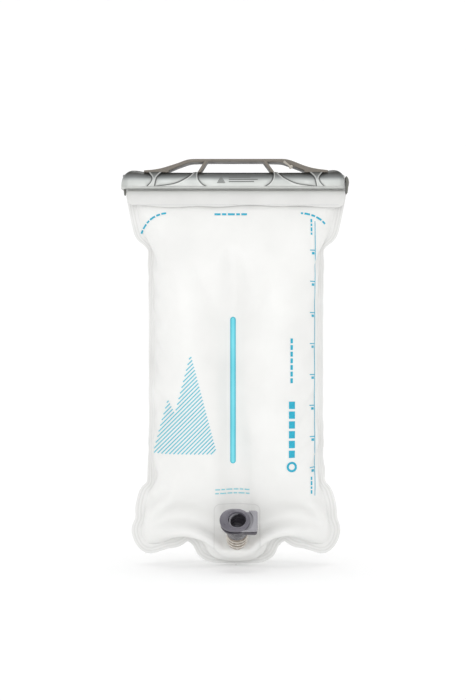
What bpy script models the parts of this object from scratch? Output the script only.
"""Two-litre hydration bladder: a welded film bag with a folded mouth, a slide-on closure with a grip
handle, an inner press-to-close baffle, and a quick-release hose port with a spring valve.

Metres, +Z up. The origin is the middle of the flat underside of the handle strap, which the bladder
hangs by. The hose port faces -Y, and the closure slides along X. Lengths along the hose port's
slanted axis are heights above the bag's film.
"""
import math

import bmesh
import bpy
from mathutils import Matrix, Vector

# Driving dimensions
GAP = 0.0003                    # between pieces that touch
FILM = 0.0006                   # bag film
BAND = 0.0005                   # film of the folded mouth
FLANGE = 0.0070                 # width of the edge weld

# Slide closure
CHANNEL_LEFT = -0.0953
CHANNEL_RIGHT = 0.0896
CHANNEL_TOP = -0.0073           # at the two raised ends
CHANNEL_SADDLE = -0.0088        # between them, under the handle
CHANNEL_FLOOR = -0.0224
CHANNEL_DEPTH = 0.0180
CAVITY_RADIUS = 0.0045
CAVITY_LEFT = -0.0940           # inner face of the closed end
SLOT_HALF = 0.0018
HANDLE_DEPTH = 0.0170
STRAP_TOP = 0.0021
RAIL_Z = -0.0145
RAIL_RADIUS = 0.0022
MOUTH_HALF = 0.0905             # half width of the folded mouth
FLAP_END = -0.0370
FLAPS = (                       # the flap's two layers in the YZ plane, from the slot down
    [(-0.0004, -0.0232), (-0.0028, -0.0250), (-0.0050, -0.0290), (-0.0068, FLAP_END)],
    [(-0.0012, -0.0229), (-0.0036, -0.0243), (-0.0059, -0.0286), (-0.0077, FLAP_END)],
)

# Bag
BAG_TOP = -0.0240
BAG_BOTTOM = -0.3135            # weld line below the two side lobes
BAG_DEPTH = 0.0335              # half thickness where it is fullest
WAIST_DEPTH = 0.0150            # half thickness along the baffle
CORNER = 0.0220                 # radius of the bottom corners
WELD_OUTLINE = (                # height, half width to the weld line
    (BAG_TOP, 0.0830),
    (-0.0400, 0.0828),
    (-0.0580, 0.0790),
    (-0.0700, 0.0685),
    (-0.1100, 0.0670),
    (-0.2300, 0.0670),
    (-0.2660, 0.0680),
    (-0.2880, 0.0765),
    (-0.3135, 0.0765),
)

# Baffle
BAFFLE_X = -0.0025
BAFFLE_TOP = -0.1290
BAFFLE_BOTTOM = -0.2490
ANCHOR_WIDTH = 0.0042

# Hose port
PORT_BASE = Vector((0.0008, -0.0150, -0.3135))
PORT_TILT = math.radians(40.0)  # of the port's axis above the horizontal
PORT_LENGTH = 0.0330
NECK_RADIUS = 0.0088
NECK_BORE = 0.0062
NECK_TOP = 0.0150
FLANGE_RADIUS = 0.0108
HEAD_RADIUS = 0.0105
HEAD_STRETCH = 0.0036           # how far the head's outline runs out to the left
SOCKET_RADIUS = 0.0076
SOCKET_FLOOR = 0.0195
SLOT_LOW = 0.0281               # the latch plate's slot in the head
SLOT_HIGH = 0.0313
SLOT_LEFT = -0.0132
SLOT_WIDE = 0.0092              # half width of the slot
BUTTON_END = 0.0166
BUTTON_WIDE = 0.0089
LATCH_REST = 0.0022             # offset of the latch ring from the socket, its travel
VALVE_RADIUS = 0.0044

PORT = (Matrix.Translation(PORT_BASE)
        @ Matrix.Rotation(math.pi / 2 - PORT_TILT, 4, "X"))


# Scene and material helpers

def clear_scene():
    for obj in list(bpy.data.objects):
        bpy.data.objects.remove(obj, do_unlink=True)


def collection(name):
    group = bpy.data.collections.new(name)
    bpy.context.scene.collection.children.link(group)
    return group


def material(name, color, roughness, metallic=0.0):
    made = bpy.data.materials.new(name)
    made.use_nodes = True
    shader = made.node_tree.nodes["Principled BSDF"]
    shader.inputs["Base Color"].default_value = (*color, 1.0)
    shader.inputs["Roughness"].default_value = roughness
    shader.inputs["Metallic"].default_value = metallic
    made.diffuse_color = (*color, 1.0)
    return made


clear_scene()
PARTS = collection("hydration_bladder")
CUTTERS = collection("cutters")


def finish(obj, color, roughness, metallic=0.0, smooth=True):
    """Give a part its material and its shading, and file it with the parts."""
    obj.data.materials.clear()
    obj.data.materials.append(material(obj.name, color, roughness, metallic))
    if smooth:
        obj.data.shade_smooth()
        obj.data.set_sharp_from_angle(angle=math.radians(40))
    return obj


def place(name, mesh, group=None):
    obj = bpy.data.objects.new(name, mesh)
    (group or PARTS).objects.link(obj)
    return obj


def as_mesh(obj):
    """Replace an object by a welded mesh of what its curve and modifiers make."""
    bpy.context.view_layer.update()
    graph = bpy.context.evaluated_depsgraph_get()
    mesh = bpy.data.meshes.new_from_object(obj.evaluated_get(graph))
    work = bmesh.new()
    work.from_mesh(mesh)
    bmesh.ops.remove_doubles(work, verts=work.verts, dist=0.000001)
    work.to_mesh(mesh)
    work.free()
    name = obj.name
    matrix = obj.matrix_world.copy()
    group = obj.users_collection[0]
    bpy.data.objects.remove(obj, do_unlink=True)
    made = place(name, mesh, group)
    made.matrix_world = matrix
    return made


def modifier(obj, kind, **settings):
    made = obj.modifiers.new(kind.title(), kind)
    for key, value in settings.items():
        setattr(made, key, value)
    return made


def combine(obj, others, operation):
    """Cut the others from obj, or join them to it, and bake the result into its mesh."""
    for other in others:
        modifier(obj, "BOOLEAN", operation=operation, object=other, solver="EXACT")
    made = as_mesh(obj)
    for other in others:
        if operation == "UNION":
            bpy.data.objects.remove(other, do_unlink=True)
        else:
            other.hide_render = True
            other.display_type = "WIRE"
    return made


def cut(obj, *cutters):
    return combine(obj, cutters, "DIFFERENCE")


def join(obj, *others):
    return combine(obj, others, "UNION")


# Shape helpers

def box(name, low, high, frame=Matrix(), group=None):
    """A box between two corners, in the given frame."""
    work = bmesh.new()
    bmesh.ops.create_cube(work, size=1.0)
    size = [b - a for a, b in zip(low, high)]
    middle = [(a + b) / 2 for a, b in zip(low, high)]
    bmesh.ops.transform(work, verts=work.verts, matrix=Matrix.LocRotScale(middle, None, size))
    mesh = bpy.data.meshes.new(name)
    work.to_mesh(mesh)
    work.free()
    obj = place(name, mesh, group)
    obj.matrix_world = frame
    return obj


def cylinder(name, radius, low, high, frame=Matrix(), sides=32, group=None):
    """A cylinder along its frame's Z, between two heights."""
    work = bmesh.new()
    bmesh.ops.create_cone(work, cap_ends=True, segments=sides, radius1=radius, radius2=radius,
                          depth=high - low)
    bmesh.ops.translate(work, verts=work.verts, vec=(0, 0, (low + high) / 2))
    mesh = bpy.data.meshes.new(name)
    work.to_mesh(mesh)
    work.free()
    obj = place(name, mesh, group)
    obj.matrix_world = frame
    return obj


def turned(name, profile, frame=Matrix(), steps=32, closed=True):
    """Turn (radius, height) points about the frame's Z: down the outside, then up the inside."""
    mesh = bpy.data.meshes.new(name)
    count = len(profile)
    edges = [(i, i + 1) for i in range(count - 1)]
    if closed:
        edges.append((count - 1, 0))
    mesh.from_pydata([(r, 0, h) for r, h in profile], edges, [])
    obj = place(name, mesh)
    modifier(obj, "SCREW", angle=2 * math.pi, steps=steps, render_steps=steps,
             use_merge_vertices=True, merge_threshold=0.00001)
    obj = as_mesh(obj)
    obj.matrix_world = frame
    return obj


def slab(name, outline, thickness, frame=Matrix(), holes=(), group=None):
    """A flat outline in the frame's XY plane, filled and given a thickness about that plane."""
    curve = bpy.data.curves.new(name, "CURVE")
    curve.dimensions = "2D"
    curve.fill_mode = "BOTH"
    curve.extrude = thickness / 2
    for points in (outline, *holes):
        spline = curve.splines.new("POLY")
        spline.points.add(len(points) - 1)
        for point, (x, y) in zip(spline.points, points):
            point.co = (x, y, 0, 1)
        spline.use_cyclic_u = True
    obj = bpy.data.objects.new(name, curve)
    (group or PARTS).objects.link(obj)
    obj = as_mesh(obj)
    obj.matrix_world = frame
    return obj


def spring(name, radius, wire, low, high, turns, frame):
    """A compression spring's coil along the frame's Z."""
    curve = bpy.data.curves.new(name, "CURVE")
    curve.dimensions = "3D"
    curve.bevel_depth = wire
    curve.bevel_resolution = 1
    curve.use_fill_caps = True
    count = turns * 10 + 1
    spline = curve.splines.new("POLY")
    spline.points.add(count - 1)
    for i, point in enumerate(spline.points):
        share = i / (count - 1)
        angle = 2 * math.pi * turns * share
        height = low + wire + (high - low - 2 * wire) * share
        point.co = (radius * math.cos(angle), radius * math.sin(angle), height, 1)
    obj = bpy.data.objects.new(name, curve)
    PARTS.objects.link(obj)
    obj = as_mesh(obj)
    obj.matrix_world = frame
    return obj


def ring(name, radius, section, height, frame, steps=24):
    """An O-ring of round section about the frame's Z."""
    angles = [math.pi / 2 - 2 * math.pi * i / 8 for i in range(8)]
    profile = [(radius + section * math.cos(a), height + section * math.sin(a)) for a in angles]
    return turned(name, profile, frame, steps)


def arc(cx, cy, radius, start, end, count):
    """Points along an arc, angles in degrees."""
    angles = [math.radians(start + (end - start) * i / count) for i in range(count + 1)]
    return [(cx + radius * math.cos(a), cy + radius * math.sin(a)) for a in angles]


def smooth(share):
    share = min(1.0, max(0.0, share))
    return share * share * (3 - 2 * share)


# Bag: one smooth surface for each side, drawn from a half width, a lower edge and a depth

def half_width(z):
    for (z0, w0), (z1, w1) in zip(WELD_OUTLINE, WELD_OUTLINE[1:]):
        if z >= z1:
            return w0 + (w1 - w0) * smooth((z0 - z) / (z0 - z1))
    return WELD_OUTLINE[-1][1]


def lower_edge(x):
    """The weld line along the bottom: a deep middle lobe between two notches."""
    middle = 0.0125 * math.exp(-(x / 0.030) ** 4)
    notch = 0.0070 * math.exp(-((abs(x) - 0.039) / 0.009) ** 2)
    return BAG_BOTTOM - middle + notch


def port_plane(z):
    """The y of the flat that the hose port stands on, at height z."""
    return PORT_BASE.y + (z - PORT_BASE.z) * math.tan(PORT_TILT)


def bag_point(u, t):
    """A point on the front side: u across the bag from -1 to 1, t down it from 0 to 1."""
    straight = BAG_TOP + (BAG_BOTTOM - BAG_TOP) * t
    width = half_width(straight)
    corner = max(0.0, t * (BAG_TOP - BAG_BOTTOM) - (BAG_TOP - BAG_BOTTOM - CORNER)) / CORNER
    width -= CORNER * (1 - math.sqrt(max(0.0, 1 - corner * corner)))
    x = width * u
    z = BAG_TOP + (lower_edge(x) - BAG_TOP) * t
    funnel = math.sin(math.pi / 2 * min(1.0, t / 0.3)) ** 1.3
    closing = max(0.0, t - 0.3) / 0.7
    full = funnel * math.sqrt(max(0.0, 1 - closing ** 5))
    waist = math.exp(-((x - BAFFLE_X) / 0.022) ** 2) * smooth(t / 0.3) * smooth((1 - t) / 0.15)
    depth = BAG_DEPTH - (BAG_DEPTH - WAIST_DEPTH) * waist
    y = -depth * full * (1 - abs(u) ** 2.4)
    return Vector((x, y, z))


def front_point(u, t):
    """As bag_point, drawn in to the flat that the hose port stands on."""
    point = bag_point(u, t)
    off = math.hypot(point.x - PORT_BASE.x, point.z - PORT_BASE.z)
    near = smooth((0.034 - off) / 0.014)
    edge = smooth((1 - t) / 0.007)
    point.y += (port_plane(point.z) - point.y) * near * edge
    return point


def neck_shift(t):
    """The bag's neck enters the slot behind the flap, so its top stands a little to the back."""
    return (BAND + GAP) * smooth(1 - t / 0.06)


def back_point(u, t):
    point = bag_point(u, t)
    point.y = -point.y
    return point


ACROSS = [math.sin(math.pi / 2 * i / 9) for i in range(-9, 10)]
DOWN = ([i / 22 * 0.90 for i in range(23)]
        + [0.925, 0.945, 0.963, 0.980, 0.992, 1.0])


def panel_mesh(name, point, side):
    """A grid over one side of the bag, with its half of the edge weld around three sides."""
    inner = [[point(u, t) for u in ACROSS] for t in DOWN]
    seat = side * (GAP + FILM) / 2
    last = len(ACROSS) - 1
    rows = []
    for j, row in enumerate(inner):
        above = inner[max(0, j - 1)]
        below = inner[min(len(inner) - 1, j + 1)]
        line = [Vector(p) for p in row]
        level = seat + neck_shift(DOWN[j])
        for p in line:
            p.y += level
        ends = []
        for i, sign in ((0, -1), (last, 1)):
            along = below[i] - above[i]
            out = Vector((sign * -along.z, 0, sign * along.x)).normalized()
            ends.append(Vector((row[i].x, level, row[i].z)) + out * FLANGE)
        rows.append([ends[0], *line, ends[1]])
    base = inner[-1]
    hem = []
    for i, p in enumerate(base):
        along = base[min(last, i + 1)] - base[max(0, i - 1)]
        out = Vector((along.z, 0, -along.x)).normalized()
        hem.append(Vector((p.x, seat, p.z)) + out * FLANGE)
    left_tip = (rows[-1][0] + hem[0]) / 2
    right_tip = (rows[-1][-1] + hem[-1]) / 2
    rows.append([left_tip, *hem, right_tip])
    wide = len(rows[0])
    verts = [p for row in rows for p in row]
    faces = []
    for j in range(len(rows) - 1):
        for i in range(wide - 1):
            a = j * wide + i
            quad = (a, a + wide, a + wide + 1, a + 1)
            faces.append(quad if side < 0 else quad[::-1])
    mesh = bpy.data.meshes.new(name)
    mesh.from_pydata(verts, [], faces)
    return mesh


def bag_panel(name, point, side):
    obj = place(name, panel_mesh(name, point, side))
    modifier(obj, "SOLIDIFY", thickness=FILM, offset=0.0, use_even_offset=False)
    return as_mesh(obj)


def make_bag():
    front = bag_panel("front_panel", front_point, -1)
    neck_cutter = cylinder("neck_cutter", NECK_RADIUS + GAP, -0.004, 0.006, PORT, group=CUTTERS)
    front = cut(front, neck_cutter)
    finish(front, (0.90, 0.91, 0.91), 0.45)
    back = bag_panel("back_panel", back_point, 1)
    finish(back, (0.90, 0.91, 0.91), 0.45)


def make_port_patch():
    """The rounded reinforcing tab welded over the film around the hose port."""
    disc = turned("port_patch", [(0.0130, 0.0015), (0.0130, 0.0010), (NECK_RADIUS + GAP, 0.0010),
                                 (NECK_RADIUS + GAP, 0.0015)], PORT)
    finish(disc, (0.86, 0.88, 0.88), 0.40)


# Folded mouth, its stiff rail and the slide closure

def ribbon(name, path, thickness, x_low, x_high):
    """A strip of film that follows a path in the YZ plane and runs across the mouth."""
    mesh = bpy.data.meshes.new(name)
    verts = [(x, y, z) for y, z in path for x in (x_low, x_high)]
    faces = [(2 * i, 2 * i + 1, 2 * i + 3, 2 * i + 2) for i in range(len(path) - 1)]
    mesh.from_pydata(verts, [], faces)
    obj = place(name, mesh)
    modifier(obj, "SOLIDIFY", thickness=thickness, offset=0.0, use_even_offset=True)
    return as_mesh(obj)


def fold_path(layer):
    """Up through the slot, around the rail and down in front as the flap; layer 0 is the inner."""
    step = BAND + GAP
    wrap = RAIL_RADIUS + GAP + BAND / 2 + layer * step
    leg = step / 2 + layer * step
    top = arc(0, RAIL_Z, wrap, -20, 200, 10)
    flap = FLAPS[layer]
    return [(leg, CHANNEL_FLOOR), (leg, -0.0190), *top, (-leg, -0.0190), *flap]


def make_mouth():
    for layer, name in enumerate(("mouth_band_inner", "mouth_band_outer")):
        band = ribbon(name, fold_path(layer), BAND, -MOUTH_HALF, MOUTH_HALF)
        finish(band, (0.88, 0.89, 0.89), 0.45)
    across = Matrix.Rotation(math.pi / 2, 4, "Y")
    at_rail = Matrix.Translation((0, 0, RAIL_Z)) @ across
    rail = cylinder("mouth_rail", RAIL_RADIUS, -0.0920, 0.0925, at_rail, sides=12)
    hook = box("hook", (-0.0936, -0.0010, -0.0277), (-0.0912, 0.0010, RAIL_Z + 0.0012))
    finish(join(rail, hook), (0.35, 0.35, 0.33), 0.5)
    cap = slab("rail_end_cap", [(0.0911, -0.0262), (0.0925, -0.0262), (0.0933, -0.0200),
                                (0.0937, -0.0168), (0.0928, -0.0142), (0.0911, -0.0115)], 0.0120,
               Matrix.Rotation(math.pi / 2, 4, "X"))
    bore = cylinder("cap_bore", RAIL_RADIUS + GAP, -0.02, 0.12, at_rail, sides=12, group=CUTTERS)
    finish(cut(cap, bore), (0.42, 0.42, 0.40), 0.5)


def make_channel():
    """The slide closure's body: a round cavity over a narrow slot, closed at the left end."""
    left = arc(CHANNEL_LEFT + 0.0085, -0.0158, 0.0085, 180, 90, 6)
    right = arc(CHANNEL_RIGHT - 0.0060, -0.0133, 0.0060, 90, 0, 5)
    outline = [(CHANNEL_LEFT, CHANNEL_FLOOR), *left,
               (-0.0780, CHANNEL_TOP), (-0.0765, CHANNEL_SADDLE), (0.0765, CHANNEL_SADDLE),
               (0.0780, CHANNEL_TOP), *right, (CHANNEL_RIGHT, CHANNEL_FLOOR)]
    upright = Matrix.Rotation(math.pi / 2, 4, "X")
    body = slab("slide_channel", outline, CHANNEL_DEPTH, upright)
    across = Matrix.Translation((0, 0, RAIL_Z)) @ Matrix.Rotation(math.pi / 2, 4, "Y")
    cavity = cylinder("cavity", CAVITY_RADIUS, CAVITY_LEFT, 0.12, across, sides=16, group=CUTTERS)
    slot = box("slot", (CAVITY_LEFT, -SLOT_HALF, -0.03), (0.12, SLOT_HALF, RAIL_Z), group=CUTTERS)
    body = cut(body, cavity, slot)
    finish(body, (0.50, 0.51, 0.50), 0.38, smooth=False)


def make_handle():
    """The grip frame: a strap on two long arms and two struts, with three finger windows."""
    floor = CHANNEL_SADDLE + GAP
    sill = floor + 0.0013
    outline = [(-0.0762, floor), (-0.0762, -0.0072), (-0.0690, -0.0066), (-0.0620, -0.0059),
               (-0.0545, -0.0038), (-0.0467, -0.0010), (-0.0430, 0.0010), (-0.0383, STRAP_TOP),
               (0.0408, STRAP_TOP), (0.0460, 0.0008), (0.0533, -0.0022), (0.0600, -0.0043),
               (0.0670, -0.0058), (0.0762, -0.0070), (0.0762, floor)]
    left = [(-0.0560, sill), (-0.0318, sill), (-0.0262, -0.0004), (-0.0340, -0.0004),
            (-0.0390, -0.0006), (-0.0430, -0.0018), (-0.0467, -0.0036), (-0.0545, -0.0066)]
    middle = [(-0.0292, sill), (0.0292, sill), (0.0226, 0.0), (-0.0236, 0.0)]
    right = [(0.0318, sill), (0.0570, sill), (0.0533, -0.0054), (0.0460, -0.0026),
             (0.0400, -0.0010), (0.0355, -0.0004), (0.0252, -0.0004)]
    upright = Matrix.Rotation(math.pi / 2, 4, "X")
    frame = slab("slide_handle", outline, HANDLE_DEPTH, upright, holes=(left, middle, right))
    finish(frame, (0.40, 0.37, 0.34), 0.45, smooth=False)
    lean = Matrix.Rotation(math.radians(-52), 4, "Y")
    peg_frame = Matrix.Translation((0.0405, -0.0103, -0.0012)) @ lean
    peg = cylinder("tether_peg", 0.0008, -0.0058, 0.0016, peg_frame, sides=10)
    ball = cylinder("ball", 0.0014, -0.0072, -0.0050, peg_frame, sides=10)
    finish(join(peg, ball), (0.38, 0.36, 0.33), 0.5)


# Baffle: two film webs joined by a press-to-close strip, each on an anchor strip

def make_baffle():
    depth = WAIST_DEPTH * 0.93
    for name, side in (("baffle_anchor_front", -1), ("baffle_anchor_back", 1)):
        inner, outer = sorted((side * (depth - 0.0030), side * (depth - 0.0022)))
        strip = box(name, (BAFFLE_X - ANCHOR_WIDTH / 2, inner, BAFFLE_BOTTOM),
                    (BAFFLE_X + ANCHOR_WIDTH / 2, outer, BAFFLE_TOP))
        finish(strip, (0.25, 0.72, 0.78), 0.4, smooth=False)
    web = depth - 0.0030 - GAP
    for name, side in (("baffle_web_front", -1), ("baffle_web_back", 1)):
        near, far = sorted((side * 0.0022, side * web))
        sheet = box(name, (BAFFLE_X - 0.0003, near, BAFFLE_BOTTOM + 0.002),
                    (BAFFLE_X + 0.0003, far, BAFFLE_TOP - 0.002))
        finish(sheet, (0.90, 0.91, 0.91), 0.4, smooth=False)
    low = BAFFLE_BOTTOM + 0.002
    high = BAFFLE_TOP - 0.002
    stand = Matrix.Translation((BAFFLE_X, 0, (low + high) / 2))
    track = [(-0.0016, 0.0019), (-0.0016, -0.0012), (-0.0008, -0.0012), (-0.0008, 0.0009),
             (0.0008, 0.0009), (0.0008, -0.0012), (0.0016, -0.0012), (0.0016, 0.0019)]
    finish(slab("baffle_track", track, high - low, stand), (0.85, 0.90, 0.90), 0.4, smooth=False)
    rib = [(-0.0016, -0.0019), (0.0016, -0.0019), (0.0016, -0.0015), (0.0005, -0.0015),
           (0.0005, 0.0005), (-0.0005, 0.0005), (-0.0005, -0.0015), (-0.0016, -0.0015)]
    finish(slab("baffle_rib", rib, high - low, stand), (0.85, 0.90, 0.90), 0.4, smooth=False)


# Hose port

def make_port_base():
    """The soft moulded base: a flange inside the bag and a ribbed neck that holds the collar."""
    profile = [(NECK_BORE, NECK_TOP), (NECK_BORE, -0.0028), (FLANGE_RADIUS, -0.0028),
               (FLANGE_RADIUS, -0.0012), (NECK_RADIUS - 0.0012, -0.0012),
               (NECK_RADIUS - 0.0012, 0.0030)]
    for low in (0.0030, 0.0068, 0.0106):
        profile += [(NECK_RADIUS, low), (NECK_RADIUS, low + 0.0022),
                    (NECK_RADIUS - 0.0012, low + 0.0022), (NECK_RADIUS - 0.0012, low + 0.0038)]
    profile.append((NECK_RADIUS - 0.0012, NECK_TOP))
    base = turned("port_base", profile[::-1], PORT)
    finish(base, (0.62, 0.58, 0.54), 0.4)


def head_outline(radius, stretch):
    """A circle about the port's axis, drawn out to the left."""
    return arc(0, 0, radius, -90, 90, 14) + arc(-stretch, 0, radius, 90, 270, 14)


def make_collar():
    """The connector: a spigot in the neck, a socket for the hose plug and a slotted head."""
    spigot = NECK_BORE - GAP
    shoulder = NECK_TOP + GAP
    seat = 0.0030
    profile = [(0.0094, 0.0300), (0.0094, 0.0190), (0.0086, 0.0160), (0.0086, shoulder),
               (spigot, shoulder), (spigot, 0.0030), (VALVE_RADIUS + GAP, 0.0030),
               (VALVE_RADIUS + GAP, 0.0152), (seat, 0.0165), (seat, SOCKET_FLOOR),
               (SOCKET_RADIUS, SOCKET_FLOOR), (SOCKET_RADIUS, 0.0300)]
    collar = turned("port_collar", profile, PORT)
    middle = (PORT_LENGTH + 0.0262) / 2
    head = slab("head", head_outline(HEAD_RADIUS, HEAD_STRETCH), PORT_LENGTH - 0.0262,
                PORT @ Matrix.Translation((0, 0, middle)))
    jaw = box("jaw", (0.0060, -0.0085, 0.0254), (0.0160, 0.0085, 0.0280), PORT)
    collar = join(collar, head, jaw)
    socket = cylinder("socket", SOCKET_RADIUS, SOCKET_FLOOR + 0.001, 0.05, PORT, group=CUTTERS)
    slot = box("latch_slot", (SLOT_LEFT, -SLOT_WIDE, SLOT_LOW), (0.03, SLOT_WIDE, SLOT_HIGH), PORT,
               group=CUTTERS)
    finish(cut(collar, socket, slot), (0.27, 0.27, 0.29), 0.4)


def make_release_button():
    """The side button, one plate with the latch ring that it carries across the socket."""
    ring_hole = [(x + LATCH_REST, y) for x, y in arc(0, 0, SOCKET_RADIUS + 0.0001, 0, 345, 23)]
    reach = LATCH_REST - SOCKET_RADIUS - 0.0013
    plate = [(BUTTON_END - 0.0008, -BUTTON_WIDE), (BUTTON_END, -0.0075), (BUTTON_END, 0.0075),
             (BUTTON_END - 0.0008, BUTTON_WIDE), (reach + 0.0050, BUTTON_WIDE), (reach, 0.0045),
             (reach, -0.0045), (reach + 0.0050, -BUTTON_WIDE)]
    middle = (SLOT_LOW + SLOT_HIGH) / 2
    thick = SLOT_HIGH - SLOT_LOW - 2 * GAP
    at_slot = PORT @ Matrix.Translation((0, 0, middle))
    button = slab("release_button", plate, thick, at_slot, holes=(ring_hole,))
    finish(button, (0.33, 0.33, 0.35), 0.35)
    along = at_slot @ Matrix.Rotation(math.pi / 2, 4, "Y")
    coil = spring("button_spring", 0.00075, 0.0002, SLOT_LEFT + GAP, reach - GAP, 5, along)
    finish(coil, (0.70, 0.70, 0.70), 0.3, 0.9)


def make_valve():
    """A spring valve: the poppet's head seals against the seat until a plug pushes it in."""
    head = 0.0146
    poppet = turned("valve_poppet", [(0.0, 0.0225), (0.0020, 0.0225), (0.0024, 0.0221),
                                     (0.0024, head), (0.0041, head), (0.0041, 0.0122),
                                     (0.0, 0.0122)], PORT, closed=False)
    finish(poppet, (0.30, 0.30, 0.32), 0.4)
    seal = ring("valve_seal", 0.00345, 0.0004, head + GAP + 0.0004, PORT)
    finish(seal, (0.06, 0.06, 0.06), 0.6)
    retainer = turned("valve_retainer", [(VALVE_RADIUS, 0.0050), (VALVE_RADIUS, 0.0034),
                                         (0.0022, 0.0034), (0.0022, 0.0050)], PORT, steps=24)
    finish(retainer, (0.75, 0.74, 0.72), 0.45)
    coil = spring("valve_spring", 0.0030, 0.00035, 0.0050 + GAP, 0.0122 - GAP, 5, PORT)
    finish(coil, (0.70, 0.70, 0.70), 0.3, 0.9)


make_bag()
make_port_patch()
make_mouth()
make_channel()
make_handle()
make_baffle()
make_port_base()
make_collar()
make_release_button()
make_valve()
bpy.context.view_layer.update()
